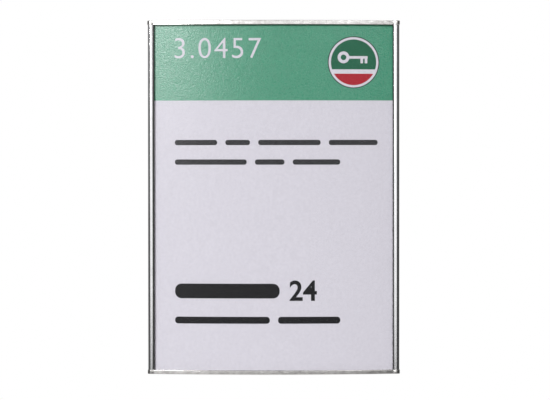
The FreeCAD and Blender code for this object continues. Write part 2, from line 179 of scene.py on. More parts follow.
# rows of bars that start at the margin: the middle of a row, the height of its bars and their lengths
LINE_ROWS = [(33.5, 3.2, (26, 15, 38, 30)), (21.6, 3.2, (44, 18, 29))]
TITLE_ROWS = [(-57.0, 9.0, (64,)), (-74.8, 4.2, (58, 38))]
BAR_GAP = 5.0
BAR_ROUND_SHARE = 0.45

# the badge, its two fields as (start, sweep), and its key, measured from the middle of the badge
BADGE_CENTRE = (48.8, 82.3)
BADGE_RADIUS = 15.8
BADGE_RIM = 0.5
BADGE_RING = 1.4
FIELD_ARC = (-18, 216)
FOOT_ARC = (210, 120)
BOW_X, BOW_Z = -6.2, 3.0
BOW_RADIUS = 3.6
EYE_RADIUS = 1.7
SHAFT_LEFT, SHAFT_RIGHT = -3.2, 8.6
SHAFT_LOW, SHAFT_HIGH = 2.2, 3.8
TOOTH_PLACES = (4.2, 6.8)
TOOTH_WIDTH = 1.6
TOOTH_LOW, TOOTH_HIGH = -0.6, 2.3
KEY_ROUND = 0.3

# most of a noise lies between these values
NOISE_LOW, NOISE_HIGH = 0.3, 0.7

# the rails' bright finish starts at RAIL_INNER, and painted shade darkens the lips in front of LIP_Y towards
# the cover, where the rails' shadow falls
RAIL_INNER = GROOVE_X - 3
DULLER_BETWEEN = 0.2
LIP_Y = -7
PAINTED_SHADE_TONE = (0.06, 0.06, 0.055, 1)
PAINTED_SHADE_SHARE = 0.8
PAINTED_SHADE_INNER, PAINTED_SHADE_OUTER = GROOVE_X - 1.6, GROOVE_X - 0.2

# how much the paper and the ink shine, and the share of light that each face of the cover throws back
PAPER_SHINE = 0.1
INK_SHINE = 0.46
COVER_SHINE = 0.005
COVER_TONE = (0.985, 0.985, 0.99, 1)

# the floor, in metres, and the share of it that shows plain white
FLOOR_DROP = 0.35
FLOOR_RADIUS = 0.7
FLOOR_TONE = (0.8, 0.8, 0.8, 1)
FLOOR_WHITE = 0.8
WHITE = (1, 1, 1, 1)

# the room: how light it is from its left side (0) to its right (1), and below and above
ROOM_LEVELS = [(0.0, 0.18), (0.45, 0.14), (0.75, 0.10), (1.0, 0.09)]
ROOM_BELOW, ROOM_ABOVE = 0.65, 3.0

# where the room changes, as parts of a unit vector: upwards, to the white backdrop and to the pale ground
ROOM_RISE = (-0.05, 0.25)
BACKDROP_EDGE = (0.80, 0.90)
GROUND_EDGE = (-0.18, -0.34)
GROUND_WHITE = 0.55

# the camera: its distance and the width of its view in metres, its angles and the point it aims at
VIEW_DISTANCE = 1.5
VIEW_WIDTH = 0.336
VIEW_RISE = 1.0
VIEW_ROLL = -0.04
AIM_X, AIM_Z = 0.8, -1.6


# Small helpers for objects and meshes


def new_object(name, data):
    thing = bpy.data.objects.new(name, data)
    bpy.context.scene.collection.objects.link(thing)
    return thing


def mesh_of(name, bm):
    mesh = bpy.data.meshes.new(name)
    bm.to_mesh(mesh)
    bm.free()
    return mesh


def new_piece(name, bm):
    """A piece in metres from a bmesh in millimetres, with its faces turned outwards."""
    bmesh.ops.recalc_face_normals(bm, faces=bm.faces[:])
    bmesh.ops.scale(bm, vec=(MM, MM, MM), verts=bm.verts[:])
    return new_object(name, mesh_of(name, bm))


def shown_mesh(thing):
    """A plain mesh of what an object shows once its modifiers have run."""
    return bpy.data.meshes.new_from_object(thing.evaluated_get(bpy.context.evaluated_depsgraph_get()))


def apply_modifiers(piece):
    """Turns what the piece's modifiers make into its own plain mesh."""
    mesh = shown_mesh(piece)
    piece.modifiers.clear()
    piece.data = mesh


def cut(piece, cutter):
    """Takes the cutter's shape out of the piece, and removes the cutter."""
    modifier = piece.modifiers.new("cut", "BOOLEAN")
    modifier.operation = "DIFFERENCE"
    modifier.solver = "EXACT"
    modifier.object = cutter
    apply_modifiers(piece)
    bpy.data.objects.remove(cutter)


def shade(piece, sharp_angle=35):
    """Smooth shading in which flat faces stay flat and edges sharper than the angle stay crisp."""
    piece.data.shade_smooth()
    piece.data.set_sharp_from_angle(angle=math.radians(sharp_angle))
    modifier = piece.modifiers.new("flat faces", "WEIGHTED_NORMAL")
    modifier.keep_sharp = True
    apply_modifiers(piece)


def settle(piece, slot, material, *nodes):
    """Gives a finished piece its material and body, and hides the CAD nodes that it stands for. The slot is
    not used.
    """
    piece.data.materials.clear()
    piece.data.materials.append(material)
    shade(piece)
    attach(piece, BODY)
    if nodes:
        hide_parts(*nodes)


def flat_face(points, height=0.0):
    """A bmesh with one face in the XY plane."""
    bm = bmesh.new()
    bm.faces.new([bm.verts.new((x, y, height)) for x, y in points])
    return bm


def thicken(bm, way):
    """Grows flat faces along a way into closed shapes."""
    grown = bmesh.ops.extrude_face_region(bm, geom=bm.faces[:], use_keep_orig=True)
    moved = [item for item in grown["geom"] if isinstance(item, bmesh.types.BMVert)]
    bmesh.ops.translate(bm, vec=way, verts=moved)


def close_loops(bm, loops):
    """Joins rings of points by faces and closes both ends."""
    for lower, upper in zip(loops, loops[1:]):
        for i in range(len(lower)):
            j = (i + 1) % len(lower)
            bm.faces.new((lower[i], lower[j], upper[j], upper[i]))
    bm.faces.new(loops[0])
    bm.faces.new(loops[-1])


# Small helpers for node trees


def add(tree, kind, inputs=None, **settings):
    """Adds a node; an input that is a socket is linked, and any other value is set on the socket."""
    node = tree.nodes.new(kind)
    for name, value in settings.items():
        setattr(node, name, value)
    for name, value in (inputs or {}).items():
        if isinstance(value, bpy.types.NodeSocket):
            tree.links.new(value, node.inputs[name])
        else:
            node.inputs[name].default_value = value
    return node


def maths(tree, operation, *values):
    return add(tree, "ShaderNodeMath", dict(enumerate(values)), operation=operation).outputs[0]


def map_range(tree, value, start, end, low, high):
    """Maps a value from start to end onto low to high, and holds it there beyond them."""
    inputs = {"Value": value, "From Min": start, "From Max": end, "To Min": low, "To Max": high}
    return add(tree, "ShaderNodeMapRange", inputs).outputs[0]


def vector(tree, **parts):
    """A vector from the parts among X, Y and Z that are given."""
    return add(tree, "ShaderNodeCombineXYZ", parts).outputs[0]


def parts_of(tree, whole):
    """The X, Y and Z of a vector."""
    return add(tree, "ShaderNodeSeparateXYZ", {0: whole}).outputs


def new_tree(name, **sizes):
    """A Geometry Nodes tree with a float input for each size and a material input."""
    tree = bpy.data.node_groups.new(name, "GeometryNodeTree")
    tree.interface.new_socket("Geometry", in_out="INPUT", socket_type="NodeSocketGeometry")
    tree.interface.new_socket("Geometry", in_out="OUTPUT", socket_type="NodeSocketGeometry")
    for size, value in sizes.items():
        socket = tree.interface.new_socket(size, in_out="INPUT", socket_type="NodeSocketFloat")
        socket.default_value = value
    tree.interface.new_socket("Material", in_out="INPUT", socket_type="NodeSocketMaterial")
    return tree, add(tree, "NodeGroupInput").outputs


def end_tree(tree, geometry, given):
    """Ends a tree in Realize Instances and Set Material."""
    real = add(tree, "GeometryNodeRealizeInstances", {"Geometry": geometry}).outputs[0]
    inputs = {"Geometry": real, "Material": given["Material"]}
    painted = add(tree, "GeometryNodeSetMaterial", inputs).outputs[0]
    add(tree, "NodeGroupOutput", {"Geometry": painted})
    return tree


def run_tree(piece, tree, material, **sizes):
    """Runs a tree on a piece with these sizes and keeps the result as its mesh."""
    modifier = piece.modifiers.new(tree.name, "NODES")
    modifier.node_group = tree
    for socket in tree.interface.items_tree:
        if socket.in_out == "INPUT" and socket.name in sizes:
            modifier[socket.identifier] = sizes[socket.name]
        if socket.in_out == "INPUT" and socket.name == "Material":
            modifier[socket.identifier] = material
    apply_modifiers(piece)


def join(tree, *shapes):
    joined = add(tree, "GeometryNodeJoinGeometry")
    for shape in shapes:
        tree.links.new(shape, joined.inputs[0])
    return joined.outputs[0]


def set_pair(tree, shape, start, step, turn):
    """Sets a shape at two places that lie a step apart, turned by these angles in radians."""
    inputs = {"Count": 2, "Start Location": start, "Offset": step}
    places = add(tree, "GeometryNodeMeshLine", inputs).outputs[0]
    inputs = {"Points": places, "Instance": shape, "Rotation": turn}
    return add(tree, "GeometryNodeInstanceOnPoints", inputs).outputs[0]


# Outlines, in millimetres; a corner is given as (x, y, round)


def point_at(angle, radius):
    """The place at an angle, in radians, on a circle about the centre of curvature."""
    return radius * math.sin(angle), CURVE_CENTRE - radius * math.cos(angle)


def on_curve(x, radius, corner_round=0):
    """A corner at x on a circle about the centre of curvature."""
    return x, CURVE_CENTRE - math.sqrt(radius ** 2 - x ** 2), corner_round


def curved_run(radius, from_x, to_x, steps):
    """Corners between two places on a circle about the centre of curvature, both left out."""
    return [on_curve(from_x + (to_x - from_x) * i / steps, radius) for i in range(1, steps)]


def around(centre, radius, angle):
    angle = math.radians(angle)
    return centre[0] + radius * math.cos(angle), centre[1] + radius * math.sin(angle)


def round_run(centre, radius, start, end, steps):
    """Corners on an arc from one angle to another."""
    return [(*around(centre, radius, start + (end - start) * i / steps), 0) for i in range(steps + 1)]


def turn_from(centre, place):
    """The angle at which a place is seen from a centre."""
    return math.degrees(math.atan2(place[1] - centre[1], place[0] - centre[0]))


def rounded(corners, steps=4):
    """Points of a closed outline whose corners are replaced by arcs."""
    points = []
    count = len(corners)
    for i, (x, y, radius) in enumerate(corners):
        here = Vector((x, y))
        if not radius:
            points.append(here)
            continue
        before = (Vector(corners[i - 1][:2]) - here).normalized()
        after = (Vector(corners[(i + 1) % count][:2]) - here).normalized()
        half = before.angle(after) / 2
        middle = here + (before + after).normalized() * radius / math.sin(half)
        first = here + before * radius / math.tan(half) - middle
        turn = before.angle_signed(after)
        sweep = math.copysign(math.pi - 2 * half, turn)
        points += [middle + Matrix.Rotation(sweep * k / steps, 2) @ first for k in range(steps + 1)]
    return points


def mirrored(half):
    """A closed outline from its right half."""
    return half + [(-x, y, corner_round) for x, y, corner_round in reversed(half)]


def flank_crossing(radius, round_radius):
    """Angle, in radians, at which a circle about the centre of curvature meets one about the flank."""
    distance = math.hypot(BEAD_X, CURVE_CENTRE - FLANK_Y)
    spread = (distance ** 2 + radius ** 2 - round_radius ** 2) / (2 * distance * radius)
    return math.asin(BEAD_X / distance) - math.acos(spread)


def profile_outline():
    """The section of the extrusion: trough, bed, groove, bead, leg and screw port on each side."""
    bead, flank, port = (BEAD_X, BEAD_Y), (BEAD_X, FLANK_Y), (PORT_X, PORT_Y)
    trough_in = TROUGH_WIDTH / 2
    trough_out = trough_in + TROUGH_WALL
    leg_x = SIDE_X - LEG_THICKNESS
    port_r, bore_r = PORT_DIAMETER / 2, PORT_BORE / 2
    port_left, port_right = PORT_X - port_r, PORT_X + port_r
    rim_turn = math.degrees(math.acos(PORT_SLOT / 2 / port_r))
    bore_turn = math.degrees(math.acos(PORT_SLOT / 2 / bore_r))
    tip = point_at(flank_crossing(LIP_RADIUS, FLANK_ROUND), LIP_RADIUS)

    half = [(trough_in, -FLOOR_THICKNESS, CORNER_ROUND)]
    half += [on_curve(trough_in, FACE_RADIUS, CORNER_ROUND)]
    half += curved_run(FACE_RADIUS, trough_in, GROOVE_X, steps=32)
    half += [on_curve(GROOVE_X, FACE_RADIUS)]
    half += [(*point_at(GROOVE_ANGLE, LIP_RADIUS), 0)]
    half += [(*tip, LIP_ROUND)]
    half += round_run(flank, FLANK_ROUND, turn_from(flank, tip) + LIP_TURN, -90, steps=14)[:-1]
    half += round_run(bead, RAIL_ROUND, -90, 0, steps=16)
    half += [(SIDE_X, 0, EDGE_BREAK), (leg_x, 0, EDGE_BREAK)]
    half += [on_curve(leg_x, WALL_BACK_RADIUS, CORNER_ROUND)]
    half += curved_run(WALL_BACK_RADIUS, leg_x, port_right, steps=8)
    half += [on_curve(port_right, WALL_BACK_RADIUS)]
    half += round_run(port, port_r, 0, rim_turn, steps=10)
    half += round_run(port, bore_r, bore_turn, -180 - bore_turn, steps=24)
    half += round_run(port, port_r, 180 - rim_turn, 180, steps=10)
    half += [on_curve(port_left, WALL_BACK_RADIUS)]
    half += curved_run(WALL_BACK_RADIUS, port_left, trough_out, steps=20)
    half += [on_curve(trough_out, WALL_BACK_RADIUS, CORNER_ROUND)]
    half += [(trough_out, 0, EDGE_BREAK)]
    return rounded(mirrored(half))


def plate_outline():
    """The outline of an end plate: flat back, bumps over the beads and a curved front."""
    bead, flank = (BEAD_X, BEAD_Y), (BEAD_X, FLANK_Y)
    distance = PLATE_RADIUS + SHOULDER_ROUND
    shoulder_angle = flank_crossing(distance, BUMP_FLANK_RADIUS + SHOULDER_ROUND)
    shoulder = point_at(shoulder_angle, distance)
    inward = turn_from(flank, shoulder)
    outward = turn_from(shoulder, (0, CURVE_CENTRE))
    front_x = point_at(shoulder_angle, PLATE_RADIUS)[0]

    half = [(BEAD_X + BUMP_RADIUS, PLATE_BACK, EDGE_BREAK)]
    half += round_run(bead, BUMP_RADIUS, 0, -90, steps=14)[:-1]
    half += round_run(flank, BUMP_FLANK_RADIUS, -90, inward, steps=12)
    half += round_run(shoulder, SHOULDER_ROUND, inward + 180, outward, steps=6)[1:]
    half += curved_run(PLATE_RADIUS, front_x, 0, steps=32)
    return rounded(mirrored(half))


# Pieces of metal


def extrusion_tree():
    """Draws a section out along Z and drills the holes for the wall screws."""
    tree, given = new_tree("extrusion", Length=0.2, HoleDiameter=0.004, HoleSpacing=0.1)
    way = vector(tree, Z=given["Length"])
    inputs = {"Mesh": given["Geometry"], "Offset": way, "Individual": False}
    drawn = add(tree, "GeometryNodeExtrudeMesh", inputs).outputs["Mesh"]
    foot = add(tree, "GeometryNodeFlipFaces", {"Mesh": given["Geometry"]}).outputs[0]
    inputs = {"Geometry": join(tree, drawn, foot), "Distance": 1e-6}
    closed = add(tree, "GeometryNodeMergeByDistance", inputs).outputs[0]

    radius = maths(tree, "MULTIPLY", given["HoleDiameter"], 0.5)
    inputs = {"Vertices": 48, "Radius": radius, "Depth": 4 * FLOOR_THICKNESS * MM}
    drill = add(tree, "GeometryNodeMeshCylinder", inputs).outputs["Mesh"]
    start = vector(tree, Z=maths(tree, "MULTIPLY", given["HoleSpacing"], -0.5))
    step = vector(tree, Z=given["HoleSpacing"])
    drills = set_pair(tree, drill, start, step, (math.pi / 2, 0, 0))
    drills = add(tree, "GeometryNodeRealizeInstances", {"Geometry": drills}).outputs[0]
    inputs = {"Mesh 1": closed, "Mesh 2": drills}
    drilled = add(tree, "GeometryNodeMeshBoolean", inputs, operation="DIFFERENCE", solver="EXACT")
    return end_tree(tree, drilled.outputs[0], given)


def make_base_profile(material):
    piece = new_piece("base_extrusion", flat_face(profile_outline(), -PROFILE_LENGTH / 2))
    run_tree(
        piece, extrusion_tree(), material,
        Length=PROFILE_LENGTH * MM, HoleDiameter=WALL_HOLE * MM, HoleSpacing=WALL_HOLE_SPACING * MM,
    )
    settle(piece, "anodised_aluminium", material, "base_profile")


def sink_drill(side):
    """A drill for a countersunk hole in the upper plate; side is 1 on the right and -1 on the left."""
    sides = 40
    hole_r, sink_r = PLATE_HOLE / 2, COUNTERSINK / 2
    rings = [(hole_r, PLATE_FOOT - DRILL_REACH), (hole_r, PLATE_TOP - (sink_r - hole_r))]
    rings += [(sink_r, PLATE_TOP), (sink_r + DRILL_REACH, PLATE_TOP + DRILL_REACH)]
    bm = bmesh.new()
    loops = []
    for radius, height in rings:
        circle = [around((side * PORT_X, PORT_Y), radius, 360 * i / sides) for i in range(sides)]
        loops.append([bm.verts.new((x, y, height)) for x, y in circle])
    close_loops(bm, loops)
    return new_piece("drill", bm)


def on_front_rim(edge):
    """True for an edge around the top or the foot of a plate, apart from its back."""
    first, second = (v.co for v in edge.verts)
    return first.z == second.z and min(first.y, second.y) < PLATE_BACK - BACK_MARGIN


def make_end_plate(name, node, end, material):
    """A plate with rounded edges and two countersunk holes; end is 1 at the top and -1 below."""
    bm = flat_face(plate_outline(), PLATE_FOOT)
    thicken(bm, (0, 0, PLATE_TOP - PLATE_FOOT))
    bmesh.ops.recalc_face_normals(bm, faces=bm.faces[:])
    rims = [edge for edge in bm.edges if on_front_rim(edge)]
    bmesh.ops.bevel(bm, geom=rims, offset=PLATE_ROUND, segments=5, profile=0.5, affect="EDGES")
    piece = new_piece(name, bm)
    for side in (1, -1):
        cut(piece, sink_drill(side))
    if end < 0:
        piece.data.transform(Matrix.Rotation(math.pi, 4, "Y"))
    settle(piece, "plate_aluminium", material, node)


def screw_shape():
    """A countersunk screw with its head's top at the origin: rim, cone, cut thread and point."""
    head_r, core_r = HEAD_DIAMETER / 2, CORE_DIAMETER / 2
    ridge = (THREAD_DIAMETER - CORE_DIAMETER) / 2
    cone_foot = -HEAD_RIM - (head_r - core_r)
    point_top = POINT_LENGTH - SCREW_LENGTH
    rows = [(head_r - HEAD_BREAK, 0, 0), (head_r, -HEAD_BREAK, 0)]
    rows += [(head_r, -HEAD_RIM, 0), (core_r, cone_foot, 0)]
    count = int((cone_foot - point_top) / THREAD_PITCH * ROWS_PER_TURN)
    for i in range(1, count + 1):
        height = cone_foot + (point_top - cone_foot) * i / count
        rows.append((core_r, height, min(1, i / ROWS_PER_TURN, (count - i) / ROWS_PER_TURN)))
    rows.append((core_r * POINT_BULGE, point_top - POINT_LENGTH * POINT_BULGE_PLACE, 0))
    rows.append((POINT_RADIUS, -SCREW_LENGTH, 0))

    bm = bmesh.new()
    loops = []
    for radius, height, thread_share in rows:
        loop = []
        for i in range(SCREW_SIDES):
            winding = (height / THREAD_PITCH + i / SCREW_SIDES) % 1
            crest = max(0, 1 - abs(winding - 0.5) * CREST_STEEPNESS)
            x, y = around((0, 0), radius + ridge * thread_share * crest, 360 * i / SCREW_SIDES)
            loop.append(bm.verts.new((x, y, height)))
        loops.append(loop)
    close_loops(bm, loops)
    return bm


def recess_cutter():
    """A cross that narrows downwards, to sink the driver's recess into a screw head."""
    arm, half = RECESS_SPAN / 2, RECESS_WIDTH / 2
    quarter = [(arm, -half), (arm, half), (half, half)]
    cross = [Matrix.Rotation(math.pi / 2 * k, 2) @ Vector(point) for k in range(4) for point in quarter]
    rows = [(RECESS_DEPTH, RECESS_MOUTH_SHARE), (-HEAD_BREAK, 1.0), (-RECESS_DEPTH, RECESS_FOOT_SHARE)]
    bm = bmesh.new()
    loops = [[bm.verts.new((*(point * share), height)) for point in cross] for height, share in rows]
    close_loops(bm, loops)
    return new_piece("recess", bm)


def screw_set_tree():
    """Sets one screw at four places: two on the top plate, and the same pair turned over below."""
    tree, given = new_tree("screw set", Spacing=0.1, SeatY=0.0, SeatZ=0.1)
    left = maths(tree, "MULTIPLY", given["Spacing"], -0.5)
    start = vector(tree, X=left, Y=given["SeatY"], Z=given["SeatZ"])
    step = vector(tree, X=given["Spacing"])
    top = set_pair(tree, given["Geometry"], start, step, (0, 0, math.radians(HEAD_TURN)))
    inputs = {"Geometry": top, "Rotation": (0, math.pi, 0)}
    below = add(tree, "GeometryNodeTransform", inputs).outputs[0]
    return end_tree(tree, join(tree, top, below), given)


def make_screws(material):
    piece = new_piece("plate_screws", screw_shape())
    cut(piece, recess_cutter())
    run_tree(
        piece, screw_set_tree(), material,
        Spacing=2 * PORT_X * MM, SeatY=PORT_Y * MM, SeatZ=(PLATE_TOP - HEAD_SINK) * MM,
    )
    settle(piece, "screw_steel", material, "end_plate_screws")


# The two sheets, cut flat in the XZ plane and flexed onto the wall


def bending_tree():
    """Bends what lies flat onto the curved wall; -Y of the flat shape is its height above the wall."""
    tree, given = new_tree("bend to the wall", Radius=0.45, Centre=0.44)
    place = parts_of(tree, add(tree, "GeometryNodeInputPosition").outputs[0])
    angle = maths(tree, "DIVIDE", place["X"], given["Radius"])
    reach = maths(tree, "SUBTRACT", given["Radius"], place["Y"])
    across = maths(tree, "MULTIPLY", reach, maths(tree, "SINE", angle))
    back = maths(tree, "MULTIPLY", reach, maths(tree, "COSINE", angle))
    bent = vector(tree, X=across, Y=maths(tree, "SUBTRACT", given["Centre"], back), Z=place["Z"])
    inputs = {"Geometry": given["Geometry"], "Position": bent}
    moved = add(tree, "GeometryNodeSetPosition", inputs).outputs[0]
    return end_tree(tree, moved, given)


bending = bending_tree()


def bend(piece, material):
    run_tree(piece, bending, material, Radius=FACE_RADIUS * MM, Centre=CURVE_CENTRE * MM)


def make_sheet(name, layer, slot, material, node):
    """A sheet between two heights above the wall."""
    back, front = layer
    corners = ((back, -SHEET_TOP), (front, -SHEET_TOP), (front, SHEET_TOP), (back, SHEET_TOP))
    bm = bmesh.new()
    loops = []
    for i in range(SHEET_COLUMNS + 1):
        x = SHEET_WIDTH * (i / SHEET_COLUMNS - 0.5)
        loops.append([bm.verts.new((x, -height, z)) for height, z in corners])
    close_loops(bm, loops)
    piece = new_piece(name, bm)
    bend(piece, material)
    settle(piece, slot, material, node)


# The print: flat shapes in the XZ plane that become thin layers of ink on the paper


def outline_bar(left, right, low, high, corner_round):
    """A bar with rounded corners."""
    corners = [(left, low), (right, low), (right, high), (left, high)]
    return rounded([(*corner, corner_round) for corner in corners], steps=6)


def outline_rows(rows):
    """Bars in rows that start at the margin."""
    bars = []
    for middle, height, lengths in rows:
        left = MARGIN
        low, high = middle - height / 2, middle + height / 2
        for length in lengths:
            bars.append(outline_bar(left, left + length, low, high, height * BAR_ROUND_SHARE))
            left += length + BAR_GAP
    return bars


def outline_strip(low, high):
    """A strip across the whole sheet."""
    half = SHEET_WIDTH / 2
    return [(-half, low), (half, low), (half, high), (-half, high)]


def outline_disc(centre, radius, start=0, sweep=360, steps=64):
    """A disc, or the part of one that a chord cuts off."""
    count = steps if sweep == 360 else steps + 1
    return [around(centre, radius, start + sweep * i / steps) for i in range(count)]


def ink_of(*outlines):
    """A bmesh with one face for each outline."""
    bm = bmesh.new()
    for outline in outlines:
        bm.faces.new([bm.verts.new((x, 0, z)) for x, z in outline])
    return bm


def numerals(text, left, low, high, boldness=0.0, spacing=1.0):
    """A bmesh of plain numerals, scaled so that they reach from low to high and start at left."""
    letters = bpy.data.curves.new("numerals", "FONT")
    letters.body = text
    letters.space_character = spacing
    letters.offset = boldness
    letters.resolution_u = 6
    carrier = new_object("numerals", letters)
    bm = bmesh.new()
    bm.from_mesh(shown_mesh(carrier))
    bpy.data.objects.remove(carrier)
    bmesh.ops.remove_doubles(bm, verts=bm.verts[:], dist=1e-5)
    corner_x = min(v.co.x for v in bm.verts)
    corner_y = min(v.co.y for v in bm.verts)
    size = (high - low) / (max(v.co.y for v in bm.verts) - corner_y)
    for v in bm.verts:
        v.co = ((v.co.x - corner_x) * size + left, 0, (v.co.y - corner_y) * size + low)
    return bm


def print_ink(name, bm, level, material):
    """Lays a flat shape on the paper as a thin layer of ink; level counts the layers from the paper up."""
    edges = [v.co.x for v in bm.verts]
    for i in range(math.ceil(min(edges) / INK_STRIP), math.floor(max(edges) / INK_STRIP) + 1):
        everything = bm.verts[:] + bm.edges[:] + bm.faces[:]
        bmesh.ops.bisect_plane(bm, geom=everything, plane_co=(i * INK_STRIP, 0, 0), plane_no=(1, 0, 0))
    foot = PAPER_LAYER[1] + INK_STEP * (level - 1)
    bmesh.ops.translate(bm, vec=(0, -foot, 0), verts=bm.verts[:])
    thicken(bm, (0, -INK_STEP, 0))
    piece = new_piece(name, bm)
    bend(piece, material)
    settle(piece, "printed_paper", material)


def make_print(inks):
    """A band with a number and a painted shadow along its top under the top plate, rows of bars, a title
    with a number, and a badge.
    """
    band = ink_of(outline_strip(BAND_FOOT, SHEET_TOP))
    # painted shadow: a dark strip along the sheet's top, where the top plate's shadow falls
    edge = ink_of(outline_strip(SHEET_TOP - PLATE_SHADOW_HEIGHT, SHEET_TOP))
    number = numerals(NUMBER_TEXT, MARGIN, NUMBER_FOOT, NUMBER_TOP, NUMBER_BOLDNESS, NUMBER_SPACING)
    title_number = numerals(TITLE_TEXT, TITLE_LEFT, TITLE_FOOT, TITLE_TOP, TITLE_BOLDNESS)
    print_ink("print_band", band, 1, inks["green"])
    print_ink("print_plate_shadow", edge, 2, inks["dark_green"])
    print_ink("print_room_number", number, 2, inks["white"])
    print_ink("print_lines", ink_of(*outline_rows(LINE_ROWS)), 1, inks["grey"])
    print_ink("print_title", ink_of(*outline_rows(TITLE_ROWS)), 1, inks["black"])
    print_ink("print_title_number", title_number, 1, inks["black"])
    make_badge(inks)


def make_badge(inks):
    """A round badge: a white key on a green field over a red foot, in a white ring with a dark rim."""
    x, z = BADGE_CENTRE
    ring_radius = BADGE_RADIUS - BADGE_RIM
    field_radius = ring_radius - BADGE_RING
    bow = (x + BOW_X, z + BOW_Z)
    shaft = outline_bar(x + SHAFT_LEFT, x + SHAFT_RIGHT, z + SHAFT_LOW, z + SHAFT_HIGH, KEY_ROUND)
    teeth = [
        outline_bar(x + left, x + left + TOOTH_WIDTH, z + TOOTH_LOW, z + TOOTH_HIGH, KEY_ROUND)
        for left in TOOTH_PLACES
    ]
    print_ink("badge_rim", ink_of(outline_disc(BADGE_CENTRE, BADGE_RADIUS)), 2, inks["black"])
    print_ink("badge_ring", ink_of(outline_disc(BADGE_CENTRE, ring_radius)), 3, inks["white"])
    field = outline_disc(BADGE_CENTRE, field_radius, *FIELD_ARC)
    print_ink("badge_field", ink_of(field), 4, inks["dark_green"])
    foot = outline_disc(BADGE_CENTRE, field_radius, *FOOT_ARC)
    print_ink("badge_foot", ink_of(foot), 4, inks["red"])
    print_ink("badge_key", ink_of(outline_disc(bow, BOW_RADIUS)), 5, inks["white"])
    print_ink("badge_key_shaft", ink_of(shaft), 5, inks["white"])
    print_ink("badge_key_teeth", ink_of(*teeth), 5, inks["white"])
    print_ink("badge_key_eye", ink_of(outline_disc(bow, EYE_RADIUS)), 6, inks["dark_green"])


# Finishes


def new_material(name, values):
    """A material with a Principled shader; values are set on its own sockets."""
    material = bpy.data.materials.new(name)
    material.use_nodes = True
    shader = material.node_tree.nodes["Principled BSDF"]
    for socket, value in values.items():
        shader.inputs[socket].default_value = value
    return material, material.node_tree, shader


def bare_material(name):
    """A material with an empty node tree."""
    material = bpy.data.materials.new(name)
    material.use_nodes = True
    material.node_tree.nodes.clear()
    return material, material.node_tree


def show_mix(tree, output, share, first, second):
    """Ends a tree in a mix of two shaders, by the second one's share."""
    mixed = add(tree, "ShaderNodeMixShader", {0: share, 1: first, 2: second}).outputs[0]
    add(tree, output, {"Surface": mixed})


def pattern(tree, scale, detail=2.0, stretch=(1, 1, 1)):
    """Noise on the piece's own place, with features about 1 / scale metres wide."""
    place = add(tree, "ShaderNodeTexCoord").outputs["Object"]
    place = add(tree, "ShaderNodeMapping", {"Vector": place, "Scale": stretch}).outputs[0]
    inputs = {"Vector": place, "Scale": scale, "Detail": detail}
    return add(tree, "ShaderNodeTexNoise", inputs).outputs["Fac"]


def tint(tree, shader, noise, dark, light, painted_shade=None):
    """Lets a noise move the colour between two tones, darker where painted shade is laid on."""
    ramp = add(tree, "ShaderNodeValToRGB", {"Fac": noise})
    first, last = ramp.color_ramp.elements
    first.position = NOISE_LOW
    first.color = (*dark, 1)
    last.position = NOISE_HIGH
    last.color = (*light, 1)
    tone = ramp.outputs[0]
    if painted_shade is not None:
        # the colours of a Mix node are its inputs 6 and 7 and its output 2
        tone = add(tree, "ShaderNodeMix", {0: painted_shade, 6: tone, 7: PAINTED_SHADE_TONE}, data_type="RGBA").outputs[2]
    tree.links.new(tone, shader.inputs["Base Color"])


def vary_roughness(tree, shader, noise, low, high):
    tree.links.new(map_range(tree, noise, NOISE_LOW, NOISE_HIGH, low, high), shader.inputs["Roughness"])


def raise_bump(tree, shader, noise, height):
    """Lets a noise raise the surface by a height in metres."""
    inputs = {"Height": noise, "Distance": height, "Strength": 1.0}
    tree.links.new(add(tree, "ShaderNodeBump", inputs).outputs[0], shader.inputs["Normal"])


def anodised_aluminium():
    """Anodised metal with fine lines along the extrusion: bright on the rails and duller between them, with
    painted shade on the lips where they meet the cover.
    """
    material, tree, shader = new_material("anodised_aluminium", {"Metallic": 1.0})
    lines = pattern(tree, scale=2600, detail=3.0, stretch=(1, 1, 0.006))
    place = parts_of(tree, add(tree, "ShaderNodeTexCoord").outputs["Object"])
    across = maths(tree, "ABSOLUTE", place["X"])
    between = maths(tree, "LESS_THAN", across, RAIL_INNER * MM)
    in_front = maths(tree, "LESS_THAN", place["Y"], LIP_Y * MM)
    on_lip = maths(tree, "MAXIMUM", maths(tree, "SUBTRACT", in_front, between), 0.0)
    # painted shade: the lips darken towards the cover, standing in for the rails' shadow and the dark gap
    # beside them
    corner = map_range(tree, across, PAINTED_SHADE_INNER * MM, PAINTED_SHADE_OUTER * MM, PAINTED_SHADE_SHARE, 0.0)
    painted_shade = maths(tree, "MULTIPLY", corner, on_lip)
    clouds = pattern(tree, scale=90)
    tint(tree, shader, clouds, dark=(0.69, 0.69, 0.70), light=(0.76, 0.76, 0.77), painted_shade=painted_shade)
    duller = maths(tree, "MULTIPLY", between, DULLER_BETWEEN)
    low, high = (maths(tree, "ADD", duller, roughness) for roughness in (0.10, 0.16))
    vary_roughness(tree, shader, lines, low, high)
    raise_bump(tree, shader, lines, height=1e-6)
    return material


def plate_aluminium():
    """Cut and tumbled plate: a cloudy satin with small pits."""
    material, tree, shader = new_material("plate_aluminium", {"Metallic": 1.0})
    clouds = pattern(tree, scale=420, detail=4.0)
    pits = pattern(tree, scale=1300, detail=3.0)
    tint(tree, shader, clouds, dark=(0.50, 0.487, 0.474), light=(0.62, 0.61, 0.60))
    vary_roughness(tree, shader, clouds, low=0.16, high=0.26)
    raise_bump(tree, shader, pits, height=1.5e-5)
    return material


def screw_steel():
    """Bright zinc on steel."""
    material, tree, shader = new_material("screw_steel", {"Metallic": 1.0})
    clouds = pattern(tree, scale=900)
    tint(tree, shader, clouds, dark=(0.52, 0.53, 0.55), light=(0.64, 0.64, 0.64))
    vary_roughness(tree, shader, clouds, low=0.22, high=0.36)
    raise_bump(tree, shader, pattern(tree, scale=3500), height=3e-6)
    return material


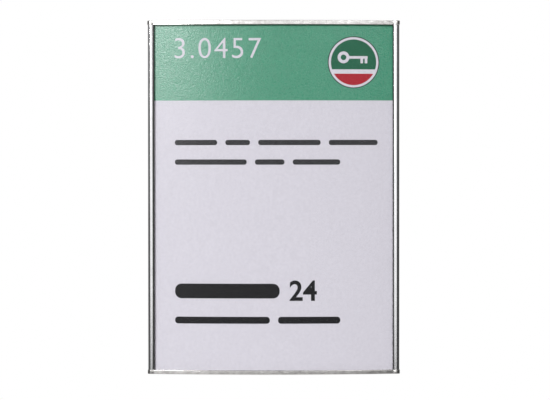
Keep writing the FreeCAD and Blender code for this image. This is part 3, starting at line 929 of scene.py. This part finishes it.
def printed_stock(name, dark, light):
    """Paper or ink on paper: a dull surface whose tone follows the fibres."""
    material, tree, shader = new_material(name, {"Specular IOR Level": PAPER_SHINE})
    fibres = pattern(tree, scale=700)
    tint(tree, shader, fibres, dark, light)
    vary_roughness(tree, shader, fibres, low=0.75, high=0.95)
    raise_bump(tree, shader, fibres, height=4e-6)
    return material


def solid_ink(name, dark, light):
    """A full field of ink: its skin shines a little, broken up by the grain of the paper."""
    material, tree, shader = new_material(name, {"Specular IOR Level": INK_SHINE})
    grain = pattern(tree, scale=1120)
    tint(tree, shader, pattern(tree, scale=700, detail=3.0), dark, light)
    vary_roughness(tree, shader, grain, low=0.25, high=0.33)
    raise_bump(tree, shader, grain, height=1.55e-4)
    return material


def matte_clear_plastic():
    """A clear sheet with a finely grained, glare-breaking front, which shines more at a slant."""
    material, tree = bare_material("matte_clear_plastic")
    grain = pattern(tree, scale=2600)
    bump = add(tree, "ShaderNodeBump", {"Height": grain, "Distance": 6e-6}).outputs[0]
    roughness = map_range(tree, grain, NOISE_LOW, NOISE_HIGH, low=0.18, high=0.26)
    clear = add(tree, "ShaderNodeBsdfTransparent", {"Color": COVER_TONE}).outputs[0]
    inputs = {"Color": WHITE, "Roughness": roughness, "Normal": bump}
    gloss = add(tree, "ShaderNodeBsdfGlossy", inputs).outputs[0]
    slant = add(tree, "ShaderNodeLayerWeight", {"Blend": 0.5}).outputs["Facing"]
    slant = maths(tree, "POWER", slant, 5.0)
    share = maths(tree, "MULTIPLY_ADD", slant, 1.0 - COVER_SHINE, COVER_SHINE)
    show_mix(tree, "ShaderNodeOutputMaterial", share, clear, gloss)
    return material


# The stage


def ray_kinds(tree):
    """Two values of 0 or 1: for rays of the camera, and for mirrored rays and rays through clear pieces."""
    path = add(tree, "ShaderNodeLightPath").outputs
    return path["Is Camera Ray"], maths(tree, "MAXIMUM", path["Is Glossy Ray"], path["Is Transmission Ray"])


def make_floor():
    """A pale floor well below the sign, near white to the camera, on which the shadow still shows."""
    level = cad_box[0].z - FLOOR_DROP
    disc = flat_face(outline_disc((0, 0), FLOOR_RADIUS, steps=128), level)
    floor = new_object("floor", mesh_of("floor", disc))
    material, tree = bare_material("pale_floor")
    share = maths(tree, "MULTIPLY", maths(tree, "MAXIMUM", *ray_kinds(tree)), FLOOR_WHITE)
    lit = add(tree, "ShaderNodeBsdfDiffuse", {"Color": FLOOR_TONE}).outputs[0]
    white = add(tree, "ShaderNodeEmission", {"Color": WHITE, "Strength": 1.0}).outputs[0]
    show_mix(tree, "ShaderNodeOutputMaterial", share, lit, white)
    floor.data.materials.append(material)


def make_world():
    """A dim studio, lighter above than below, with white behind the sign and a pale ground."""
    world = bpy.data.worlds.new("studio")
    bpy.context.scene.world = world
    world.use_nodes = True
    tree = world.node_tree
    tree.nodes.clear()
    way = parts_of(tree, add(tree, "ShaderNodeTexCoord").outputs["Generated"])
    ramp = add(tree, "ShaderNodeValToRGB", {"Fac": map_range(tree, way["X"], -1.0, 1.0, 0.0, 1.0)})
    levels = ramp.color_ramp.elements
    for place, _ in ROOM_LEVELS[1:-1]:
        levels.new(place)
    for element, (place, level) in zip(levels, ROOM_LEVELS):
        element.position = place
        element.color = (level, level, level, 1)
    strength = map_range(tree, way["Z"], *ROOM_RISE, ROOM_BELOW, ROOM_ABOVE)
    room = add(tree, "ShaderNodeBackground", {"Color": ramp.outputs[0], "Strength": strength}).outputs[0]
    white = add(tree, "ShaderNodeBackground", {"Color": WHITE, "Strength": 1.0}).outputs[0]
    behind = map_range(tree, way["Y"], *BACKDROP_EDGE, 0.0, 1.0)
    below = map_range(tree, way["Z"], *GROUND_EDGE, 0.0, GROUND_WHITE)
    to_camera, mirrored_too = ray_kinds(tree)
    pale = maths(tree, "MULTIPLY", maths(tree, "MAXIMUM", behind, below), mirrored_too)
    show_mix(tree, "ShaderNodeOutputWorld", maths(tree, "MAXIMUM", to_camera, pale), room, white)


def direction(azimuth, elevation):
    """Unit vector from the sign towards a place at these angles; azimuth 0 is straight in front."""
    a, e = math.radians(azimuth), math.radians(elevation)
    return Vector((math.sin(a) * math.cos(e), -math.cos(a) * math.cos(e), math.sin(e)))


def look_at(thing, place, target, roll=0.0):
    turn = (target - place).to_track_quat("-Z", "Y").to_matrix().to_4x4()
    thing.matrix_world = Matrix.Translation(place) @ turn @ Matrix.Rotation(math.radians(roll), 4, "Z")


def add_panel(name, azimuth, elevation, distance, width, height, power):
    """A soft rectangular lamp that faces the sign, with its sizes in metres."""
    lamp = bpy.data.lights.new(name, "AREA")
    lamp.shape = "RECTANGLE"
    lamp.size = width
    lamp.size_y = height
    lamp.energy = power
    look_at(new_object(name, lamp), direction(azimuth, elevation) * distance, Vector((0, 0, 0)))


def add_camera():
    """The photograph's view: straight on, from a little above the middle."""
    target = Vector((AIM_X, BEAD_Y, AIM_Z)) * MM
    lens = bpy.data.cameras.new("camera")
    lens.sensor_width = 36.0
    lens.lens = lens.sensor_width * VIEW_DISTANCE / VIEW_WIDTH
    camera = new_object("camera", lens)
    look_at(camera, target + direction(0, VIEW_RISE) * VIEW_DISTANCE, target, VIEW_ROLL)
    bpy.context.scene.camera = camera


# The sign and its stage

plate_finish = plate_aluminium()
paper_finish = printed_stock("paper", (0.602, 0.583, 0.631), (0.652, 0.633, 0.681))
inks = {
    "green": solid_ink("green_ink", (0.035, 0.236, 0.136), (0.041, 0.274, 0.157)),
    "dark_green": printed_stock("dark_green_ink", (0.018, 0.115, 0.062), (0.022, 0.130, 0.070)),
    "white": paper_finish,
    "black": printed_stock("black_ink", (0.010, 0.010, 0.011), (0.016, 0.016, 0.017)),
    "grey": printed_stock("thin_black_ink", (0.030, 0.030, 0.032), (0.045, 0.045, 0.047)),
    "red": printed_stock("red_ink", (0.36, 0.018, 0.030), (0.40, 0.024, 0.036)),
}
make_base_profile(anodised_aluminium())
make_end_plate("upper_end_plate", "top_end_plate", 1, plate_finish)
make_end_plate("lower_end_plate", "bottom_end_plate", -1, plate_finish)
make_screws(screw_steel())
make_sheet("printed_sheet", PAPER_LAYER, "printed_paper", paper_finish, "paper_insert")
make_print(inks)
make_sheet("matte_cover", COVER_LAYER, "matte_clear_plastic", matte_clear_plastic(), "clear_cover")

make_floor()
make_world()
add_panel("window", azimuth=-6.5, elevation=3.7, distance=3.5, width=3.6, height=1.25, power=15)
add_panel("lamp", azimuth=-36, elevation=28, distance=3.4, width=0.6, height=0.6, power=24)
add_panel("glint", azimuth=-22.5, elevation=10, distance=3.4, width=0.7, height=0.5, power=50)
add_panel("fill", azimuth=18, elevation=20, distance=3.0, width=1.2, height=1.0, power=18)
add_camera()
bpy.context.scene.view_settings.view_transform = "Standard"
